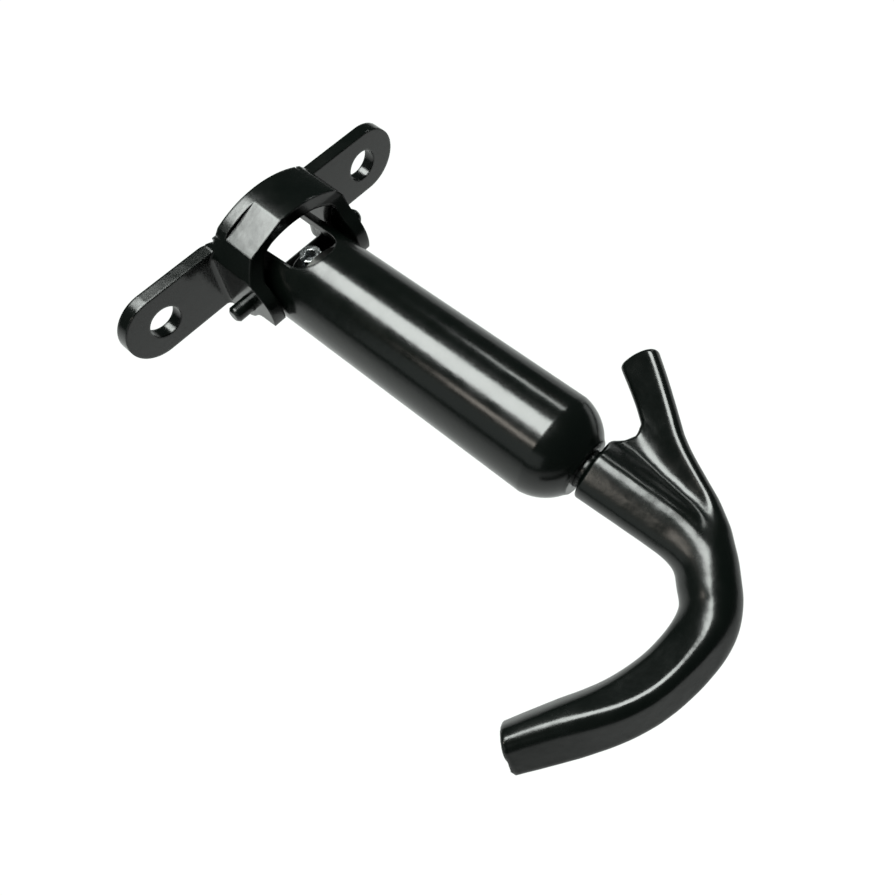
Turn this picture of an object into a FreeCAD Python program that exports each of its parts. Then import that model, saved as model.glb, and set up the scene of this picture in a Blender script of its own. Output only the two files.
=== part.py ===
import FreeCAD, Part
import math
import os
import Sketcher

# Sprung pull hook on a two-eared wall bracket.
# Frame: the mounting plane is x = 0 and +X points away from the wall.
# +Y runs along the two ears, +Z is up, and the origin lies midway between
# the two bolt holes. All lengths are millimetres, all angles degrees.

Vector = FreeCAD.Vector
doc = FreeCAD.newDocument("pull_hook")

DIMENSIONS = [
    ("sheet_thickness", 2.6),
    ("bolt_hole_diameter", 6.75),
    ("bolt_hole_pitch", 51.8),
    ("ear_half_height", 7.0),
    ("ear_tip_reach", 34.35),
    ("cheek_inner_reach", 10.0),
    ("arch_crown_height", 12.9),
    ("arch_rear_offset", 2.0),
    ("arch_front_offset", 11.3),
    ("lobe_tip_offset", 17.3),
    ("press_flat_length", 6.8),
    ("outer_bend_radius", 3.4),
    ("inner_bend_radius", 1.0),
    ("pivot_offset", 10.1),
    ("pivot_height", -1.2),
    ("pivot_pin_diameter", 3.2),
    ("pivot_pin_length", 33.0),
    ("pivot_clearance", 0.1),
    ("barrel_diameter", 19.05),
    ("barrel_wall", 1.5),
    ("barrel_length", 68.8),
    ("barrel_rear_overhang", 3.2),
    ("barrel_tilt", 3.15),
    ("mouth_width", 10.0),
    ("mouth_reach", 10.7),
    ("shank_diameter", 7.0),
    ("shank_clearance", 0.2),
    ("shoulder_gap", 1.2),
    ("neck_diameter", 10.2),
    ("hook_tip_diameter", 8.2),
    ("prong_root_diameter", 8.0),
    ("prong_end_diameter", 6.0),
    ("web_thickness", 4.4),
    ("hook_turn", 15.0),
    ("roll_pin_diameter", 4.0),
    ("roll_pin_bore", 1.9),
    ("roll_pin_length", 13.2),
    ("roll_pin_position", 5.6),
    ("washer_diameter", 15.2),
    ("washer_thickness", 1.4),
    ("spring_wire", 1.8),
    ("spring_mean_diameter", 11.8),
    ("spring_turns", 13.5),
]

sheet = doc.addObject("Spreadsheet::Sheet", "Dimensions")
for row, (alias, number) in enumerate(DIMENSIONS, start=1):
    sheet.set("A%d" % row, alias)
    sheet.set("B%d" % row, str(number))
    sheet.setAlias("B%d" % row, alias)
doc.recompute()


def dim(alias):
    return float(sheet.get(alias))


def bind(item, prop, expression):
    item.setExpression(prop, expression)


def from_sheet(alias):
    return "Dimensions." + alias


def new_body(label, placement=None):
    body = doc.addObject("PartDesign::Body", label)
    body.Label = label
    if placement is not None:
        body.Placement = placement
    return body


def origin_plane(body, role):
    for feature in body.Origin.OriginFeatures:
        if feature.Role == role:
            return feature
    raise RuntimeError("no plane " + role)


def new_sketch(body, name, role, offset=None):
    sketch = body.newObject("Sketcher::SketchObject", name)
    sketch.AttachmentSupport = [(origin_plane(body, role), "")]
    sketch.MapMode = "FlatFace"
    if offset is not None:
        sketch.AttachmentOffset = offset
    return sketch


def add_loop(sketch, corners):
    """Closed outline through corners, each a pair of sketch coordinates."""
    count = len(corners)
    for index in range(count):
        start = Vector(corners[index][0], corners[index][1], 0)
        end = Vector(corners[(index + 1) % count][0], corners[(index + 1) % count][1], 0)
        sketch.addGeometry(Part.LineSegment(start, end), False)


def add_line(sketch, start, end):
    return sketch.addGeometry(Part.LineSegment(Vector(start[0], start[1], 0), Vector(end[0], end[1], 0)), False)


def add_arc(sketch, start, middle, end):
    arc = Part.Arc(Vector(start[0], start[1], 0), Vector(middle[0], middle[1], 0), Vector(end[0], end[1], 0))
    return sketch.addGeometry(arc, False)


def add_curve(sketch, points):
    curve = Part.BSplineCurve()
    curve.interpolate([Vector(p[0], p[1], 0) for p in points])
    return sketch.addGeometry(curve, False)


def add_circle(sketch, centre, diameter_expression, diameter):
    """Circle with its diameter held by a named, driven constraint."""
    middle = Vector(centre[0], centre[1], 0)
    index = sketch.addGeometry(Part.Circle(middle, Vector(0, 0, 1), diameter / 2.0), False)
    name = "diameter_%d" % index
    constraint = sketch.addConstraint(Sketcher.Constraint("Diameter", index, diameter))
    sketch.renameConstraint(constraint, name)
    bind(sketch, "Constraints." + name, diameter_expression)
    return index


def pad(body, name, sketch, length_expression, midplane=False, backwards=False):
    feature = body.newObject("PartDesign::Pad", name)
    feature.Profile = sketch
    bind(feature, "Length", length_expression)
    feature.Midplane = midplane
    feature.Reversed = backwards
    sketch.Visibility = False
    doc.recompute()
    return feature


def pocket_through(body, name, sketch, midplane=True, backwards=False):
    volume_before = body.Shape.Volume
    feature = body.newObject("PartDesign::Pocket", name)
    feature.Profile = sketch
    feature.Type = 1
    feature.Midplane = midplane
    feature.Reversed = backwards
    sketch.Visibility = False
    doc.recompute()
    if body.Shape.Volume >= volume_before:
        raise RuntimeError(name + " removed nothing")
    return feature


def pocket_depth(body, name, sketch, length_expression):
    feature = body.newObject("PartDesign::Pocket", name)
    feature.Profile = sketch
    bind(feature, "Length", length_expression)
    sketch.Visibility = False
    doc.recompute()
    return feature


def vertical_edges(shape, x_value, y_value):
    """Names of the straight edges that run along Z at a given x and |y|."""
    names = []
    for number, edge in enumerate(shape.Edges, start=1):
        first = edge.Vertexes[0].Point
        last = edge.Vertexes[-1].Point
        at_x = abs(first.x - x_value) < 0.01 and abs(last.x - x_value) < 0.01
        at_y = abs(abs(first.y) - y_value) < 0.01 and abs(abs(last.y) - y_value) < 0.01
        if at_x and at_y and abs(first.z - last.z) > 1.0:
            names.append("Edge%d" % number)
    return names


# ---------------------------------------------------------------- placements

pivot = Vector(dim("pivot_offset"), 0, dim("pivot_height"))
tilt = FreeCAD.Rotation(Vector(0, 1, 0), -dim("barrel_tilt"))
turn = FreeCAD.Rotation(Vector(1, 0, 0), dim("hook_turn"))
barrel_placement = FreeCAD.Placement(pivot, tilt)
hook_placement = FreeCAD.Placement(pivot, tilt.multiply(turn))

# ----------------------------------------------------------- mounting bracket


def build_bracket():
    body = new_body("mounting_bracket")
    thickness = dim("sheet_thickness")
    inner = dim("cheek_inner_reach")
    outer = inner + thickness
    foot = -dim("ear_half_height")
    crown = dim("arch_crown_height")

    # Saddle: two cheeks joined over the top by a low arch. The +Y shoulder is
    # crisp and high, the -Y shoulder is a longer slope.
    saddle = new_sketch(body, "SaddleSection", "YZ_Plane")
    outer_high = [(outer, 8.4), (outer - 1.5, 10.2)]
    inner_high = [(inner, 7.3), (inner - 0.8, 8.3)]
    outer_low = [(-outer, 6.2), (-outer + 3.5, 10.4)]
    inner_low = [(-inner, 5.25), (-inner + 2.9, 8.74)]
    add_line(saddle, (outer, foot), outer_high[0])
    add_line(saddle, outer_high[0], outer_high[1])
    add_arc(saddle, outer_high[1], (0, crown), outer_low[1])
    add_line(saddle, outer_low[1], outer_low[0])
    add_line(saddle, outer_low[0], (-outer, foot))
    add_line(saddle, (-outer, foot), (-inner, foot))
    add_line(saddle, (-inner, foot), inner_low[0])
    add_line(saddle, inner_low[0], inner_low[1])
    add_arc(saddle, inner_low[1], (0, crown - thickness), inner_high[1])
    add_line(saddle, inner_high[1], inner_high[0])
    add_line(saddle, inner_high[0], (inner, foot))
    add_line(saddle, (inner, foot), (outer, foot))
    pad(body, "Saddle", saddle, from_sheet("lobe_tip_offset") + " + 1")

    # Ears: two round-ended straps in the mounting plane.
    ears = new_sketch(body, "EarOutline", "YZ_Plane")
    half = dim("ear_half_height")
    centre = dim("ear_tip_reach") - half
    for side in (-1, 1):
        root = side * inner
        end = side * centre
        add_line(ears, (root, -half), (end, -half))
        add_arc(ears, (end, -half), (end + side * half, 0), (end, half))
        add_line(ears, (end, half), (root, half))
        add_line(ears, (root, half), (root, -half))
    pad(body, "Ears", ears, from_sheet("sheet_thickness"))

    # Side trim: what lies outside the cheek outline is cut away.
    trim = new_sketch(body, "CheekTrim", "XZ_Plane")
    rear = dim("arch_rear_offset")
    front = dim("arch_front_offset")
    tip = dim("lobe_tip_offset")
    lobe = [(front + 0.4, 8.6), (front + 1.2, 7.1), (front + 2.4, 5.6), (tip - 1.9, 4.2),
            (tip - 0.6, 2.4), (tip, 0.2), (tip - 0.1, -1.9)]
    belly = [(tip - 0.1, -1.9), (tip - 2.4, -2.1), (tip - 4.8, -2.7), (tip - 6.4, -4.4),
             (tip - 9.0, -6.0), (tip - 12.5, foot)]
    add_line(trim, (0, foot), (0, half))
    add_line(trim, (0, half), (rear, half + 1.0))
    add_line(trim, (rear, half + 1.0), (rear, crown + 1.0))
    add_line(trim, (rear, crown + 1.0), (front, crown + 1.0))
    add_line(trim, (front, crown + 1.0), (front, 9.6))
    add_line(trim, (front, 9.6), lobe[0])
    add_curve(trim, lobe)
    add_curve(trim, belly)
    add_line(trim, belly[-1], (0, foot))
    add_loop(trim, [(-5, -20), (30, -20), (30, 25), (-5, 25)])
    pocket_through(body, "TrimCut", trim)

    # Bends: the sheet turns from each ear into its cheek.
    bend = new_sketch(body, "BendRounding", "XY_Plane")
    radius = dim("outer_bend_radius")
    drop = radius * (1.0 - math.sqrt(0.5))
    for side in (-1, 1):
        face = side * inner
        add_line(bend, (-1, face), (-1, face + side * radius))
        add_line(bend, (-1, face + side * radius), (0, face + side * radius))
        add_arc(bend, (0, face + side * radius), (drop, face + side * drop), (radius, face))
        add_line(bend, (radius, face), (-1, face))
    pocket_through(body, "BendCut", bend)

    # Press flat: a shallow facet struck into one shoulder at the front.
    flat = new_sketch(body, "PressFlat", "YZ_Plane",
                      FreeCAD.Placement(Vector(0, 0, front + 0.5), FreeCAD.Rotation()))
    add_loop(flat, [(-1.6, crown + 1.0), (-1.6, crown - 0.05), (-13.0, crown - 4.57), (-13.0, crown + 1.0)])
    pocket_depth(body, "PressCut", flat, from_sheet("press_flat_length") + " + 0.5")

    # Bolt holes and pivot holes.
    bolts = new_sketch(body, "BoltHoles", "YZ_Plane")
    for side in (-1, 1):
        add_circle(bolts, (side * dim("bolt_hole_pitch") / 2.0, 0),
                   from_sheet("bolt_hole_diameter"), dim("bolt_hole_diameter"))
    pocket_through(body, "BoltCut", bolts)
    pivots = new_sketch(body, "PivotHoles", "XZ_Plane")
    add_circle(pivots, (dim("pivot_offset"), dim("pivot_height")),
               from_sheet("pivot_pin_diameter") + " + " + from_sheet("pivot_clearance"),
               dim("pivot_pin_diameter") + dim("pivot_clearance"))
    pocket_through(body, "PivotCut", pivots)

    fillet = body.newObject("PartDesign::Fillet", "InnerBend")
    base = body.Group[-2]
    fillet.Base = (base, vertical_edges(base.Shape, thickness, outer))
    bind(fillet, "Radius", from_sheet("inner_bend_radius"))
    doc.recompute()
    return body


# ------------------------------------------------------------------ pivot pin


def build_pivot_pin():
    body = new_body("pivot_pin", FreeCAD.Placement(pivot, FreeCAD.Rotation()))
    profile = new_sketch(body, "PinSection", "XZ_Plane")
    add_circle(profile, (0, 0), from_sheet("pivot_pin_diameter"), dim("pivot_pin_diameter"))
    pad(body, "PinPad", profile, from_sheet("pivot_pin_length"), midplane=True)
    chamfer = body.newObject("PartDesign::Chamfer", "PinEnds")
    base = body.Group[-2]
    rims = []
    for number, edge in enumerate(base.Shape.Edges, start=1):
        if isinstance(edge.Curve, Part.Circle):
            rims.append("Edge%d" % number)
    chamfer.Base = (base, rims)
    chamfer.Size = 0.5
    doc.recompute()
    return body


# --------------------------------------------------------------------- barrel


def build_barrel():
    body = new_body("barrel", barrel_placement)
    radius = dim("barrel_diameter") / 2.0
    wall = dim("barrel_wall")
    end = dim("barrel_length")
    rear = -dim("barrel_rear_overhang")
    hole = dim("shank_diameter") / 2.0 + dim("shank_clearance") / 2.0
    bore = radius - wall

    # Tube drawn in to a blunt nose at the front, turned about its own axis.
    section = new_sketch(body, "TubeSection", "XZ_Plane")
    shoulder = end - 6.6
    add_line(section, (rear, radius), (shoulder, radius))
    add_arc(section, (shoulder, radius), (end - 3.1, radius - 1.3), (end - 0.5, radius - 3.7))
    add_line(section, (end - 0.5, radius - 3.7), (end, radius - 4.2))
    add_line(section, (end, radius - 4.2), (end, hole))
    add_line(section, (end, hole), (end - 1.6, hole))
    add_line(section, (end - 1.6, hole), (end - 1.6, bore - 3.7))
    add_arc(section, (end - 1.6, bore - 3.7), (end - 3.7, bore - 1.6), (shoulder, bore))
    add_line(section, (shoulder, bore), (rear, bore))
    add_line(section, (rear, bore), (rear, radius))
    turned = body.newObject("PartDesign::Revolution", "Tube")
    turned.Profile = section
    turned.ReferenceAxis = (section, ["H_Axis"])
    turned.Angle = 360.0
    section.Visibility = False
    doc.recompute()

    # Open mouth in the top wall at the rear, rounded at its front end.
    mouth = new_sketch(body, "MouthOutline", "XY_Plane")
    half = dim("mouth_width") / 2.0
    middle = dim("mouth_reach") - half
    add_line(mouth, (rear - 1.0, -half - 0.3), (middle, -half))
    add_arc(mouth, (middle, -half), (middle + half, 0), (middle, half))
    add_line(mouth, (middle, half), (rear - 1.0, half + 0.3))
    add_line(mouth, (rear - 1.0, half + 0.3), (rear - 1.0, -half - 0.3))
    pocket_through(body, "MouthCut", mouth, midplane=False, backwards=True)

    bores = new_sketch(body, "PivotBores", "XZ_Plane")
    add_circle(bores, (0, 0), from_sheet("pivot_pin_diameter") + " + " + from_sheet("pivot_clearance"),
               dim("pivot_pin_diameter") + dim("pivot_clearance"))
    pocket_through(body, "BoreCut", bores)
    return body


# ------------------------------------------------------------ spring and seats


def build_washer(label, position, bore_diameter):
    body = new_body(label, barrel_placement)
    ring = new_sketch(body, "Ring_" + label, "YZ_Plane",
                      FreeCAD.Placement(Vector(0, 0, position), FreeCAD.Rotation()))
    add_circle(ring, (0, 0), from_sheet("washer_diameter"), dim("washer_diameter"))
    add_circle(ring, (0, 0), "%.3f" % bore_diameter, bore_diameter)
    pad(body, "Plate_" + label, ring, from_sheet("washer_thickness"))
    return body


def build_spring(start, end):
    """Round-wire compression spring between the two washers, ends cut flat."""
    wire = dim("spring_wire")
    mean = dim("spring_mean_diameter") / 2.0
    turns = dim("spring_turns")
    reach = end - start
    helix = Part.makeHelix((reach - wire) / turns, reach - wire, mean)
    helix.rotate(Vector(0, 0, 0), Vector(0, 1, 0), 90)
    helix.translate(Vector(start + wire / 2.0, 0, 0))
    first = helix.Edges[0]
    origin = first.valueAt(first.FirstParameter)
    heading = first.tangentAt(first.FirstParameter)
    circle = Part.makeCircle(wire / 2.0, origin, heading)
    coil = Part.Wire(helix.Edges).makePipeShell([Part.Wire([circle])], True, True)
    item = doc.addObject("Part::Feature", "return_spring")
    item.Label = "return_spring"
    item.Shape = coil
    item.Placement = barrel_placement
    return item


def build_roll_pin():
    body = new_body("roll_pin", barrel_placement)
    ring = new_sketch(body, "RollSection", "XY_Plane")
    centre = (dim("roll_pin_position"), 0)
    add_circle(ring, centre, from_sheet("roll_pin_diameter"), dim("roll_pin_diameter"))
    add_circle(ring, centre, from_sheet("roll_pin_bore"), dim("roll_pin_bore"))
    pad(body, "RollPad", ring, from_sheet("roll_pin_length"), midplane=True)
    slot = new_sketch(body, "RollSlot", "XY_Plane")
    left = centre[0] - 0.35
    right = centre[0] + 0.35
    add_loop(slot, [(left, 0), (right, 0), (right, -3.0), (left, -3.0)])
    pocket_through(body, "SlotCut", slot)
    return body


# ----------------------------------------------------------------------- hook


def across(point, way):
    """Placement on the YZ plane of a section square to a line in the XY plane."""
    angle = math.degrees(math.atan2(way[1], way[0]))
    return FreeCAD.Placement(Vector(point[1], 0, point[0]), FreeCAD.Rotation(Vector(0, 1, 0), angle))


def build_hook():
    body = new_body("hook", hook_placement)
    start = dim("barrel_length") + dim("shoulder_gap")
    neck = dim("neck_diameter") / 2.0

    # Centre line of the forging: neck, tight bend, easy bend, straight tail.
    bend_one = (start + 16.5, -11.6)
    radius_one = 11.9
    radius_two = 34.0
    join = math.radians(2.0)
    leave = math.radians(-31.0)
    tail = 13.8
    crest = (bend_one[0], bend_one[1] + radius_one)
    point_one = (bend_one[0] + radius_one * math.cos(join), bend_one[1] + radius_one * math.sin(join))
    side_one = (bend_one[0] + radius_one * math.cos(math.radians(46)),
                bend_one[1] + radius_one * math.sin(math.radians(46)))
    bend_two = (point_one[0] - radius_two * math.cos(join), point_one[1] - radius_two * math.sin(join))
    side_two = (bend_two[0] + radius_two * math.cos(math.radians(-14.5)),
                bend_two[1] + radius_two * math.sin(math.radians(-14.5)))
    point_two = (bend_two[0] + radius_two * math.cos(leave), bend_two[1] + radius_two * math.sin(leave))
    way = (math.sin(leave), -math.cos(leave))
    point_three = (point_two[0] + tail * way[0], point_two[1] + tail * way[1])

    shank = new_sketch(body, "ShankSection", "YZ_Plane",
                       FreeCAD.Placement(Vector(0, 0, dim("pivot_pin_diameter") / 2.0 + 0.15), FreeCAD.Rotation()))
    add_circle(shank, (0, 0), from_sheet("shank_diameter"), dim("shank_diameter"))
    pad(body, "Shank", shank, "%s + %s + 1" % (from_sheet("barrel_length"), from_sheet("shoulder_gap")))

    spine = new_sketch(body, "HookLine", "XY_Plane")
    add_line(spine, (start, crest[1]), crest)
    add_arc(spine, crest, side_one, point_one)
    add_arc(spine, point_one, side_two, point_two)
    add_line(spine, point_two, point_three)
    root = new_sketch(body, "NeckSection", "YZ_Plane",
                      FreeCAD.Placement(Vector(crest[1], 0, start), FreeCAD.Rotation()))
    add_circle(root, (0, 0), from_sheet("neck_diameter"), dim("neck_diameter"))
    tip = new_sketch(body, "TipSection", "YZ_Plane", across(point_three, way))
    add_circle(tip, (0, 0), from_sheet("hook_tip_diameter"), dim("hook_tip_diameter"))
    rod = body.newObject("PartDesign::AdditivePipe", "HookRod")
    rod.Profile = root
    rod.Spine = spine
    rod.Sections = [tip]
    rod.Transformation = "Multisection"
    rod.Transition = 0
    for sketch in (spine, root, tip):
        sketch.Visibility = False
    doc.recompute()

    # Thumb prong: leaves the back of the bend and tapers to a blunt end.
    prong_line = [(start + 22.6, -0.6), (start + 20.0, 2.3), (start + 16.5, 4.9), (start + 12.6, 7.1),
                  (start + 8.8, 9.3), (start + 5.6, 11.7), (start + 2.8, 14.1), (start - 0.3, 16.6),
                  (start - 5.8, 21.0)]
    prong_way = (-0.78, 0.62)
    prong = new_sketch(body, "ProngLine", "XY_Plane")
    add_curve(prong, prong_line)
    base = new_sketch(body, "ProngRoot", "YZ_Plane", across(prong_line[0], (-0.62, 0.78)))
    add_circle(base, (0, 0), from_sheet("prong_root_diameter"), dim("prong_root_diameter"))
    end = new_sketch(body, "ProngEnd", "YZ_Plane", across(prong_line[-1], prong_way))
    add_circle(end, (0, 0), from_sheet("prong_end_diameter"), dim("prong_end_diameter"))
    horn = body.newObject("PartDesign::AdditivePipe", "Prong")
    horn.Profile = base
    horn.Spine = prong
    horn.Sections = [end]
    horn.Transformation = "Multisection"
    for sketch in (prong, base, end):
        sketch.Visibility = False
    doc.recompute()

    # Web: fills the crotch between the neck and the prong.
    web = new_sketch(body, "WebOutline", "XY_Plane")
    rim = [(start + 0.1, 4.2), (start + 0.5, 6.0), (start + 1.6, 7.6), (start + 2.4, 10.2)]
    add_curve(web, rim)
    add_line(web, rim[-1], (start + 8.0, 9.0))
    add_line(web, (start + 8.0, 9.0), (start + 16.0, 4.0))
    add_line(web, (start + 16.0, 4.0), (start + 14.0, 1.0))
    add_line(web, (start + 14.0, 1.0), (start + 1.0, 1.0))
    add_line(web, (start + 1.0, 1.0), rim[0])
    pad(body, "Web", web, from_sheet("web_thickness"), midplane=True)

    # Cross hole for the roll pin, upright in the barrel whatever the hook's turn.
    cross = new_sketch(body, "CrossHole", "XY_Plane",
                       FreeCAD.Placement(Vector(0, 0, 0), FreeCAD.Rotation(Vector(1, 0, 0), -dim("hook_turn"))))
    add_circle(cross, (dim("roll_pin_position"), 0), from_sheet("roll_pin_diameter") + " + 0.02",
               dim("roll_pin_diameter") + 0.02)
    pocket_through(body, "CrossCut", cross)
    return body


bracket = build_bracket()
pin = build_pivot_pin()
barrel = build_barrel()
tail_seat = dim("roll_pin_position") + dim("roll_pin_diameter") / 2.0 + 0.1
nose_seat = dim("barrel_length") - 7.0
tail_washer = build_washer("tail_washer", tail_seat, dim("shank_diameter") + 0.3)
nose_washer = build_washer("nose_washer", nose_seat, dim("shank_diameter") + 0.3)
spring = build_spring(tail_seat + dim("washer_thickness") + 0.05, nose_seat - 0.05)
roll_pin = build_roll_pin()
hook = build_hook()
doc.recompute()

PARTS = [bracket, pin, barrel, tail_washer, nose_washer, spring, roll_pin, hook]

for item in doc.Objects:
    if "Invalid" in item.State or "Error" in item.State:
        raise RuntimeError("feature not valid: " + item.Name)

os.makedirs("parts", exist_ok=True)
for item in PARTS:
    shape = item.Shape
    if shape.isNull() or not shape.isValid():
        raise RuntimeError("shape not valid: " + item.Label)
    print(item.Label, round(shape.Volume, 1), [round(v, 2) for v in (
        shape.BoundBox.XMin, shape.BoundBox.XMax, shape.BoundBox.YMin,
        shape.BoundBox.YMax, shape.BoundBox.ZMin, shape.BoundBox.ZMax)], len(shape.Solids))
    shape.exportStep("parts/%s.step" % item.Label)
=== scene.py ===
import math
import bpy
import bmesh
import numpy as np
from mathutils import Matrix, Vector


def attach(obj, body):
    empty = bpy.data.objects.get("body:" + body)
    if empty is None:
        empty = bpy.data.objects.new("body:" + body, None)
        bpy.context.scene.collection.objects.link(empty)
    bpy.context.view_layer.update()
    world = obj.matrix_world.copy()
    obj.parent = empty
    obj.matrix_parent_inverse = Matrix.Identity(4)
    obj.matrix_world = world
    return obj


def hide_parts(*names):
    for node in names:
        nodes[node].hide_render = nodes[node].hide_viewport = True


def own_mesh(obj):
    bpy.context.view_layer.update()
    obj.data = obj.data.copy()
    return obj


# A sprung pull hook on its wall bracket. The bracket, barrel, pins and washers
# are the CAD pieces; the hook and the spring are shown by pieces built here.
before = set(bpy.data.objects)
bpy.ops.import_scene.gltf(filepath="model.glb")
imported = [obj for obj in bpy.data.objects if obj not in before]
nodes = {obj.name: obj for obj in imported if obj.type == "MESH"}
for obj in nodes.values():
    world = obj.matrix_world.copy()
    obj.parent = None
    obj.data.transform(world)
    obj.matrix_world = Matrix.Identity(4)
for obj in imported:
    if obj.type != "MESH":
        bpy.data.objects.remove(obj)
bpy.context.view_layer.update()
scene = bpy.context.scene


# ------------------------------------------------------------------ materials

class Shader:
    """A node material with short helpers for the pieces of its node tree."""

    def __init__(self, name):
        self.material = bpy.data.materials.new(name)
        self.material.use_nodes = True
        self.tree = self.material.node_tree
        self.bsdf = self.tree.nodes["Principled BSDF"]
        self.coords = self.add("ShaderNodeTexCoord").outputs["Object"]

    def add(self, kind, **settings):
        node = self.tree.nodes.new(kind)
        for key, value in settings.items():
            setattr(node, key, value)
        return node

    def link(self, source, target):
        self.tree.links.new(source, target)

    def noise(self, scale, detail=3.0, roughness=0.5, stretch=None):
        node = self.add("ShaderNodeTexNoise")
        node.inputs["Scale"].default_value = scale
        node.inputs["Detail"].default_value = detail
        node.inputs["Roughness"].default_value = roughness
        source = self.coords
        if stretch is not None:
            mapping = self.add("ShaderNodeMapping")
            mapping.inputs["Scale"].default_value = stretch
            self.link(self.coords, mapping.inputs["Vector"])
            source = mapping.outputs["Vector"]
        self.link(source, node.inputs["Vector"])
        return node.outputs["Fac"]

    def ramp(self, fac, stops):
        node = self.add("ShaderNodeValToRGB")
        elements = node.color_ramp.elements
        while len(elements) > 1:
            elements.remove(elements[-1])
        elements[0].position, elements[0].color = stops[0][0], stops[0][1]
        for position, color in stops[1:]:
            elements.new(position).color = color
        self.link(fac, node.inputs["Fac"])
        return node.outputs["Color"]

    def spread(self, fac, low, high, start=0.0, end=1.0):
        node = self.add("ShaderNodeMapRange")
        node.inputs["From Min"].default_value = start
        node.inputs["From Max"].default_value = end
        node.inputs["To Min"].default_value = low
        node.inputs["To Max"].default_value = high
        self.link(fac, node.inputs["Value"])
        return node.outputs["Result"]

    def maths(self, operation, first, second):
        node = self.add("ShaderNodeMath", operation=operation)
        for socket, value in zip(node.inputs, (first, second)):
            if isinstance(value, float):
                socket.default_value = value
            else:
                self.link(value, socket)
        return node.outputs[0]

    def bump(self, height, strength, distance, rounding=0.0):
        """Small relief, on top of edges that are rounded off by the given radius."""
        node = self.add("ShaderNodeBump")
        if rounding:
            soft = self.add("ShaderNodeBevel", samples=6)
            soft.inputs["Radius"].default_value = rounding
            self.link(soft.outputs["Normal"], node.inputs["Normal"])
        node.inputs["Strength"].default_value = strength
        node.inputs["Distance"].default_value = distance
        self.link(height, node.inputs["Height"])
        self.link(node.outputs["Normal"], self.bsdf.inputs["Normal"])
        return node


def black_paint(name, orange_peel=1.0, dull=0.0, rounding=0.0):
    """Dipped gloss enamel, near black with a green-grey cast and soft orange peel."""
    s = Shader(name)
    cloud = s.noise(90.0, 4.0, 0.6)
    deep = (0.0007, 0.0018, 0.0013, 1.0)
    worn = (0.0020, 0.0030, 0.0024, 1.0)
    s.link(s.ramp(cloud, [(0.35, deep), (0.72, worn)]), s.bsdf.inputs["Base Color"])
    dust = s.noise(260.0, 5.0, 0.7)
    s.link(s.spread(dust, 0.15 + dull, 0.24 + 1.4 * dull, 0.3, 0.8), s.bsdf.inputs["Roughness"])
    s.bsdf.inputs["IOR"].default_value = 1.55
    broad = s.noise(330.0, 2.0, 0.5)
    fine = s.maths("MULTIPLY", s.noise(700.0, 2.0, 0.5), 0.35)
    peel = s.maths("ADD", broad, fine)
    s.bump(peel, 0.06 * orange_peel, 0.0004, rounding)
    return s.material


def bright_zinc(name):
    """Bright zinc plate, a little blue, streaked along the pin."""
    s = Shader(name)
    dark = (0.66, 0.70, 0.72, 1.0)
    light = (0.86, 0.88, 0.88, 1.0)
    tint = s.ramp(s.noise(800.0, 4.0, 0.6), [(0.3, dark), (0.7, light)])
    s.link(tint, s.bsdf.inputs["Base Color"])
    s.bsdf.inputs["Metallic"].default_value = 1.0
    s.link(s.spread(s.noise(1500.0, 4.0, 0.6), 0.14, 0.34, 0.3, 0.7), s.bsdf.inputs["Roughness"])
    s.bump(s.noise(1800.0, 3.0, 0.5, (1.0, 1.0, 0.1)), 0.15, 0.0001, 0.0004)
    return s.material


def plain_steel(name, low, high, stretch):
    """Oiled steel between two colours, with a grain drawn out by stretch."""
    s = Shader(name)
    tint = s.ramp(s.noise(500.0, 5.0, 0.65, stretch), [(0.3, low), (0.7, high)])
    s.link(tint, s.bsdf.inputs["Base Color"])
    s.bsdf.inputs["Metallic"].default_value = 1.0
    smear = s.noise(900.0, 4.0, 0.6, stretch)
    s.link(s.spread(smear, 0.25, 0.45, 0.3, 0.7), s.bsdf.inputs["Roughness"])
    s.bump(s.noise(1600.0, 3.0, 0.6, stretch), 0.2, 0.0001)
    return s.material


PAINT = black_paint("black_paint", rounding=0.0006)
PAINT_FORGED = black_paint("black_paint_forged", 2.2, 0.05)
ZINC = bright_zinc("bright_zinc")
STEEL = plain_steel("dark_steel", (0.015, 0.015, 0.015, 1.0), (0.05, 0.05, 0.048, 1.0),
                    (1.0, 1.0, 1.0))
WIRE = plain_steel("spring_steel", (0.16, 0.16, 0.17, 1.0), (0.34, 0.34, 0.34, 1.0),
                   (0.2, 1.0, 1.0))


def dress(node, material):
    """Gives a CAD node the material in every slot, leaving its mesh as it is."""
    piece = nodes[node]
    for slot in piece.material_slots:
        slot.link = "OBJECT"
        slot.material = material
    return piece


# ----------------------------------------------------------- forged hook skin

# The forging is worked out in the hook's own axes, in millimetres: first along
# the barrel, second across it in the hook's plane, third square to that plane.
NECK_START = 70.0
SHANK_END = 1.75
SHANK_RADIUS = 3.5
BEND_CENTRE = (NECK_START + 16.2, -11.5)
BEND_RADIUS = 11.8
EASY_RADIUS = 34.0
TAIL_LENGTH = 13.8
WEB_HALF_THICKNESS = 1.7
METRES = 0.001
VOXEL = 0.36
SLOPE_STEP = 0.02
ROUNDS = 14
SMOOTHED_ROUNDS = 11
PIVOT = Vector((10.1, 0.0, -1.2))
BARREL_TILT = Matrix.Rotation(math.radians(-3.15), 4, "Y")
HOOK_TURN = Matrix.Rotation(math.radians(15.0), 4, "X")
TO_ROW = Matrix.Scale(METRES, 4) @ Matrix.Translation(PIVOT) @ BARREL_TILT @ HOOK_TURN


def arc_points(centre, radius, first, last, step=0.4):
    """Points along an arc from the first angle up to, but not at, the last."""
    count = max(2, int(abs(math.radians(last - first)) * radius / step))
    angles = np.radians(np.linspace(first, last, count, endpoint=False))
    return np.c_[centre[0] + radius * np.cos(angles), centre[1] + radius * np.sin(angles)]


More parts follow.
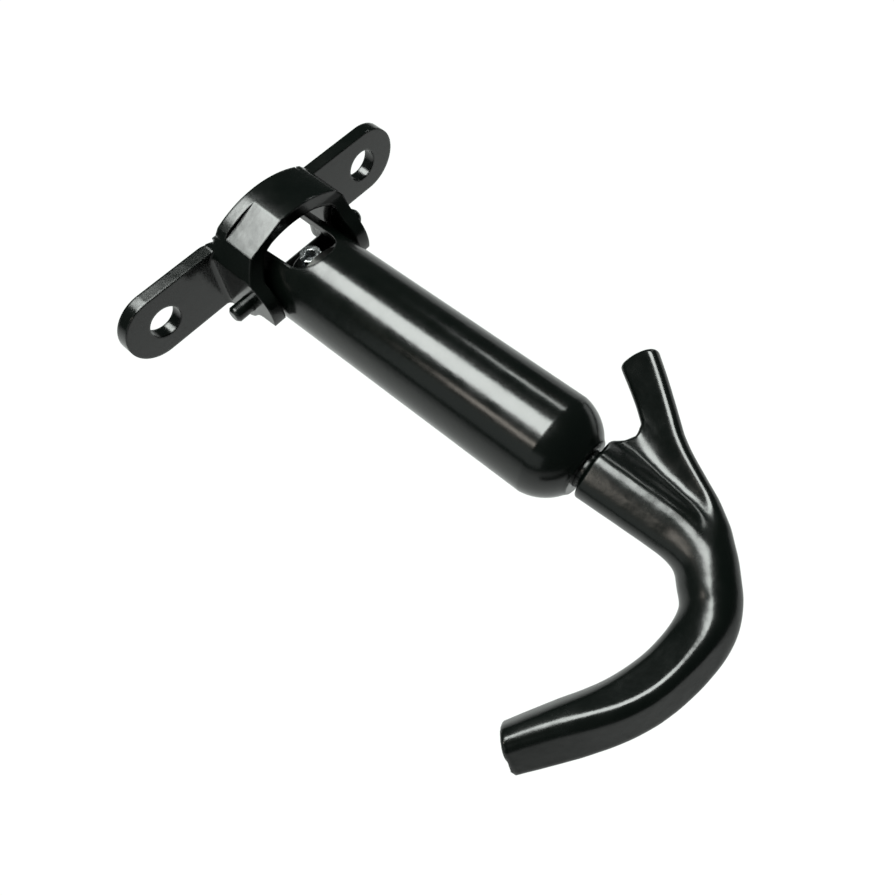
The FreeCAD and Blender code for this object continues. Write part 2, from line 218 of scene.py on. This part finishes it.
def line_points(first, last, step=0.4):
    """Points along a straight line, the last one left out."""
    count = max(2, int(math.dist(first, last) / step))
    share = np.linspace(0.0, 1.0, count, endpoint=False)[:, None]
    return np.array(first) + share * (np.array(last) - np.array(first))


def beside(point, radius, degrees):
    """The point at that distance and angle from another."""
    angle = math.radians(degrees)
    return point[0] + radius * math.cos(angle), point[1] + radius * math.sin(angle)


def relax(line, passes):
    """Evens out the curvature of a centre line, keeping its ends."""
    for _ in range(passes):
        line[1:-1] = 0.25 * line[:-2] + 0.5 * line[1:-1] + 0.25 * line[2:]
    return line


def rod_line():
    """Centre line of neck, tight bend, easy bend and straight tail."""
    join, leave = 2.0, -32.0
    crest = (BEND_CENTRE[0], 0.3)
    easy = beside(beside(BEND_CENTRE, BEND_RADIUS, join), -EASY_RADIUS, join)
    end = beside(easy, EASY_RADIUS, leave)
    tip = beside(end, TAIL_LENGTH, leave - 90.0)
    line = np.vstack([line_points((NECK_START, 0.3), crest),
                      arc_points(BEND_CENTRE, BEND_RADIUS, 90.0, join),
                      arc_points(easy, EASY_RADIUS, join, leave), line_points(end, tip), [tip]])
    return relax(line, 50)


def prong_line():
    """Centre line of the prong, from inside the bend to its free end."""
    knots = np.array([(24.0, -4.0), (22.6, -0.6), (20.0, 2.3), (16.5, 4.9), (12.6, 7.1),
                      (8.8, 9.3), (5.6, 11.7), (2.8, 14.1), (-0.3, 16.6), (-6.1, 20.8)])
    knots[:, 0] += NECK_START
    reach = np.r_[0.0, np.cumsum(np.hypot(*np.diff(knots, axis=0).T))]
    where = np.arange(0.0, reach[-1], 0.4)
    bent = np.c_[np.interp(where, reach, knots[:, 0]), np.interp(where, reach, knots[:, 1])]
    return relax(bent, 12)


class Track:
    """A centre line that says, for any point, how far along it is and how far out."""

    def __init__(self, line):
        self.line = line
        way = np.gradient(line, axis=0)
        self.way = way / np.linalg.norm(way, axis=1)[:, None]
        self.reach = np.r_[0.0, np.cumsum(np.hypot(*np.diff(line, axis=0).T))]
        self.length = self.reach[-1]

    def locate(self, points):
        """Distance along the line, distance to its left, and height, for each point."""
        flat = points[:, :2]
        line_squares = (self.line ** 2).sum(1)[None, :]
        gap = (flat ** 2).sum(1)[:, None] - 2.0 * flat @ self.line.T + line_squares
        near = gap.argmin(1)
        offset = flat - self.line[near]
        way = self.way[near]
        along = self.reach[near] + (offset * way).sum(1)
        out = offset[:, 1] * way[:, 0] - offset[:, 0] * way[:, 1]
        return along, out, points[:, 2]


def smooth_min(first, second, width):
    """Joins two solids with a fillet about as wide as width."""
    blend = np.clip(0.5 + 0.5 * (second - first) / width, 0.0, 1.0)
    return second + (first - second) * blend - width * blend * (1.0 - blend)


def smooth_max(first, second, width):
    """Keeps what two solids share, with the edge between them rounded."""
    return -smooth_min(-first, -second, width)


def ease(low, high, value):
    """Runs smoothly from 0 at low to 1 at high."""
    share = np.clip((value - low) / (high - low), 0.0, 1.0)
    return share * share * (3.0 - 2.0 * share)


def facet(across, up, degrees, depth):
    """Distance above a flat whose square direction leans the given angle from the across axis."""
    lean = np.radians(degrees)
    return across * np.cos(lean) + up * np.sin(lean) - depth


ROD = Track(rod_line())
PRONG = Track(prong_line())
WEB = np.array([(0.0, 3.0), (-0.1, 4.4), (0.1, 6.4), (1.2, 8.0), (1.8, 9.2), (1.9, 10.6),
                (8.0, 9.0), (16.0, 4.0), (14.0, 1.0), (1.0, 1.0)]) + (NECK_START, 0.0)


def outline_distance(flat, corners):
    """Signed distance in the plane to a closed outline, negative inside."""
    best = np.full(len(flat), 1e9)
    inside = np.zeros(len(flat), bool)
    for first, last in zip(corners, np.roll(corners, -1, axis=0)):
        edge = last - first
        offset = flat - first
        share = np.clip((offset @ edge) / (edge @ edge), 0.0, 1.0)
        best = np.minimum(best, np.linalg.norm(offset - share[:, None] * edge, axis=1))
        spans = (first[1] > flat[:, 1]) != (last[1] > flat[:, 1])
        crossing = first[0] + (flat[:, 1] - first[1]) * edge[0] / (edge[1] if edge[1] else 1e-9)
        inside ^= spans & (flat[:, 0] < crossing)
    return np.where(inside, -best, best)


def rod_skin(points):
    """Neck, bends and tail: round at the bend, flatted at the neck and along the tail."""
    along, out, up = ROD.locate(points)
    girth = np.interp(along, [0.0, 8.0, 16.0, 26.0, 36.0, 46.0, 58.0, 63.0, 67.0],
                      [5.05, 4.8, 4.6, 4.45, 4.4, 4.5, 4.4, 4.15, 3.9])
    neck = 1.0 - ease(14.0, 28.0, along)
    tail = ease(24.0, 42.0, along)
    last = ease(42.0, 65.0, along)
    rod = np.hypot(out - 0.02 * tail * girth, up) - girth * (1.0 + 0.06 * tail)
    rod = smooth_max(rod, facet(out, up, 110.0, 0.87 * girth) - 1.2 * (1.0 - neck), 0.9)
    # Lean in degrees, depth as a share of the girth, and how far the edge is rounded.
    flats = ((122.0, 0.75 + 0.33 * last, 0.7), (78.0, 0.865, 0.35),
             (35.5 + 9.0 * last, 0.74 - 0.12 * last, 0.6), (165.0, 0.97, 0.5))
    for lean, depth, fade in flats:
        rod = smooth_max(rod, facet(out, up, lean, depth * girth) - 1.6 * (1.0 - tail), fade)
    rod = smooth_max(rod, NECK_START - points[:, 0], 0.5)
    # The tip is sheared a little askew, with a small step across it.
    step = 0.22 * np.tanh((0.35 * girth - out) / 0.4)
    return smooth_max(rod, along - (ROD.length - 1.0) - 0.22 * (out + 4.0) - step, 0.45)


def prong_skin(points):
    """The prong, a half-round bar with its ridge on the outer side."""
    reach, side, top = PRONG.locate(points)
    behind = np.minimum(reach, 0.0)
    prong = np.sqrt(side ** 2 + top ** 2 + behind ** 2)
    prong -= np.interp(reach, [0.0, 8.0, 16.0, 24.0, 31.0, 38.0], [3.9, 3.8, 3.4, 3.05, 3.1, 3.35])
    flat = facet(side, top, 58.0, 1.45 + 2.4 * (1.0 - ease(3.0, 14.0, reach)))
    prong = smooth_max(prong, flat, 0.9)
    return smooth_max(prong, reach - PRONG.length + 0.06 * (side ** 2 + top ** 2), 0.6)


def web_skin(points):
    """The thin web in the crotch, sloping down from the neck."""
    web = smooth_max(outline_distance(points[:, :2], WEB), -WEB_HALF_THICKNESS - points[:, 2], 0.6)
    return smooth_max(web, facet(points[:, 1] - 3.0, points[:, 2], 79.0, 1.0), 0.6)


def shank_skin(points):
    """The straight shank inside the barrel, running a little way into the neck."""
    shank = smooth_max(np.hypot(points[:, 1], points[:, 2]) - SHANK_RADIUS,
                       SHANK_END - points[:, 0], 0.5)
    return np.maximum(shank, points[:, 0] - NECK_START - 3.0)


def ripple(points):
    """Slow unevenness of a hammered surface, from -2 to 2."""
    x, y, z = points.T
    waves = np.sin(0.9 * x + 0.6 * y) * np.sin(0.8 * y - 0.7 * z)
    return waves + np.sin(0.7 * z + 1.3 * x - 0.5 * y)


def hook_skin(points):
    """Signed distance, in millimetres, to the forging's surface."""
    skin = smooth_min(rod_skin(points), web_skin(points), 2.6)
    skin = smooth_min(skin, prong_skin(points), 1.5)
    return np.minimum(skin + 0.008 * ripple(points), shank_skin(points))


def rough_hook():
    """The CAD forging, remeshed evenly, in the hook's own axes."""
    build = bmesh.new()
    build.from_mesh(nodes["hook"].data)
    bmesh.ops.transform(build, matrix=TO_ROW.inverted(), verts=build.verts)
    bmesh.ops.remove_doubles(build, verts=build.verts, dist=0.002)
    mesh = bpy.data.meshes.new("hook_rough")
    build.to_mesh(mesh)
    build.free()
    piece = bpy.data.objects.new("hook_rough", mesh)
    scene.collection.objects.link(piece)
    remesh = piece.modifiers.new("Even", "REMESH")
    remesh.mode = "VOXEL"
    remesh.voxel_size = VOXEL
    graph = bpy.context.evaluated_depsgraph_get()
    even = bpy.data.meshes.new_from_object(piece.evaluated_get(graph))
    bpy.data.objects.remove(piece)
    return even


def smoothed(points, ends, links):
    """Each point moved halfway to the middle of its neighbours."""
    total = np.zeros_like(points)
    np.add.at(total, ends[:, 0], points[ends[:, 1]])
    np.add.at(total, ends[:, 1], points[ends[:, 0]])
    return points + 0.5 * (total / links - points)


def drawn_in(points):
    """Each point moved towards the forging's surface, by 0.6 mm at most."""
    value = hook_skin(points)
    slope = np.empty_like(points)
    for axis in range(3):
        nudge = np.zeros(3)
        nudge[axis] = SLOPE_STEP
        slope[:, axis] = (hook_skin(points + nudge) - value) / SLOPE_STEP
    size = np.maximum((slope ** 2).sum(1), 0.2)[:, None]
    return points - np.clip(value, -0.6, 0.6)[:, None] * slope / size


def forge_hook():
    """The hook's mesh, drawn onto the forging's surface in rounds, most with a smoothing."""
    mesh = rough_hook()
    count = len(mesh.vertices)
    flat = np.empty(count * 3)
    mesh.vertices.foreach_get("co", flat)
    points = flat.reshape(-1, 3)
    ends = np.empty(len(mesh.edges) * 2, int)
    mesh.edges.foreach_get("vertices", ends)
    ends = ends.reshape(-1, 2)
    links = np.bincount(ends.ravel(), minlength=count)[:, None]
    for turn in range(ROUNDS):
        if turn < SMOOTHED_ROUNDS:
            points = smoothed(points, ends, links)
        points = drawn_in(points)
    mesh.vertices.foreach_set("co", points.ravel())
    mesh.transform(TO_ROW)
    mesh.shade_smooth()
    mesh.materials.clear()
    mesh.materials.append(PAINT_FORGED)
    piece = bpy.data.objects.new("hook_forging", mesh)
    scene.collection.objects.link(piece)
    return piece


hook = forge_hook()
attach(hook, "hook")
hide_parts("hook")

for name in ("mounting_bracket", "pivot_pin", "barrel"):
    dress(name, PAINT)
dress("roll_pin", ZINC)
dress("nose_washer", STEEL)
dress("tail_washer", STEEL)


def sprung_coil():
    """The spring as a copy of the CAD coil in spring steel, carried with the barrel."""
    rest = nodes["return_spring"]
    piece = bpy.data.objects.new("spring_coil", rest.data.copy())
    scene.collection.objects.link(piece)
    piece.matrix_world = rest.matrix_world.copy()
    piece.data.materials.clear()
    piece.data.materials.append(WIRE)
    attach(piece, "barrel")
    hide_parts("return_spring")
    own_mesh(piece)


sprung_coil()


# ---------------------------------------------------------------------- stage

def studio_surface(name, albedo, glow):
    s = Shader(name)
    s.bsdf.inputs["Base Color"].default_value = (albedo, albedo, albedo, 1.0)
    s.bsdf.inputs["Roughness"].default_value = 0.9
    s.bsdf.inputs["Specular IOR Level"].default_value = 0.1
    s.bsdf.inputs["Emission Color"].default_value = (0.97, 1.0, 0.98, 1.0)
    s.bsdf.inputs["Emission Strength"].default_value = glow
    return s.material


def studio_piece(name, build, material):
    mesh = bpy.data.meshes.new(name)
    build.to_mesh(mesh)
    build.free()
    mesh.materials.append(material)
    piece = bpy.data.objects.new(name, mesh)
    scene.collection.objects.link(piece)
    return piece


def floor():
    """Pale table well below the part, lighting it from underneath."""
    build = bmesh.new()
    bmesh.ops.create_grid(build, x_segments=8, y_segments=8, size=4.0)
    piece = studio_piece("floor", build, studio_surface("floor_pale", 0.4, 0.36))
    piece.location = (0.0, 0.0, -0.30)
    piece.visible_camera = False
    return piece


def backdrop():
    """White shell round the whole set, seen by the camera alone."""
    build = bmesh.new()
    bmesh.ops.create_icosphere(build, subdivisions=4, radius=2.0)
    piece = studio_piece("backdrop", build, studio_surface("backdrop_white", 0.0, 1.05))
    piece.visible_glossy = False
    piece.visible_diffuse = False
    piece.visible_shadow = False
    return piece


floor()
backdrop()

world = bpy.data.worlds.new("studio")
scene.world = world
world.use_nodes = True
background = world.node_tree.nodes["Background"]
background.inputs["Color"].default_value = (0.84, 0.97, 0.91, 1.0)
background.inputs["Strength"].default_value = 0.05


def softbox(name, place, aim, size, size_y, radiance, color):
    """Rectangular lamp with its long side along X, facing along aim."""
    data = bpy.data.lights.new(name, "AREA")
    data.shape = "RECTANGLE"
    data.size = size
    data.size_y = size_y
    data.energy = radiance * math.pi * size * size_y
    data.color = color
    lamp = bpy.data.objects.new(name, data)
    scene.collection.objects.link(lamp)
    back = -Vector(aim).normalized()
    side = Vector((1.0, 0.0, 0.0))
    side = (side - back * side.dot(back)).normalized()
    turn = Matrix((side, back.cross(side), back)).transposed()
    lamp.matrix_world = Matrix.Translation(place) @ turn.to_4x4()
    return lamp


COOL_WHITE = (0.95, 1.0, 0.965)
WARM_WHITE = (1.0, 0.93, 0.83)
PALE_GREEN = (0.93, 1.0, 0.97)

softbox("overhead", (-0.43, -0.12, 1.0), (0.0, 0.0, -1.0), 0.86, 0.60, 14.5, COOL_WHITE)
softbox("right_strip", (-0.18, 0.71, 0.62), (0.25, -0.71, -0.62), 0.35, 0.09, 8.5, COOL_WHITE)
softbox("left_strip", (-0.20, -0.69, 0.66), (0.27, 0.69, -0.66), 0.35, 0.12, 5.5, WARM_WHITE)
softbox("left_fill", (0.0, -1.3, 0.45), (0.0, 1.0, -0.3), 1.6, 0.7, 0.4, PALE_GREEN)


# --------------------------------------------------------------------- camera

def photo_camera():
    """Camera above and ahead of the hook, looking back along the barrel and down."""
    data = bpy.data.cameras.new("camera")
    data.sensor_width = 36.0
    data.lens = 30.364
    data.clip_start = 0.01
    data.clip_end = 20.0
    camera = bpy.data.objects.new("camera", data)
    scene.collection.objects.link(camera)
    right = Vector((0.750, 0.661, -0.007)).normalized()
    down = Vector((0.592, -0.677, -0.436))
    ahead = right.cross(down).normalized()
    down = ahead.cross(right)
    turn = Matrix((right, -down, -ahead)).transposed()
    camera.matrix_world = Matrix.Translation((0.09605, -0.05234, 0.11480)) @ turn.to_4x4()
    return camera


scene.camera = photo_camera()
scene.view_settings.view_transform = "Standard"
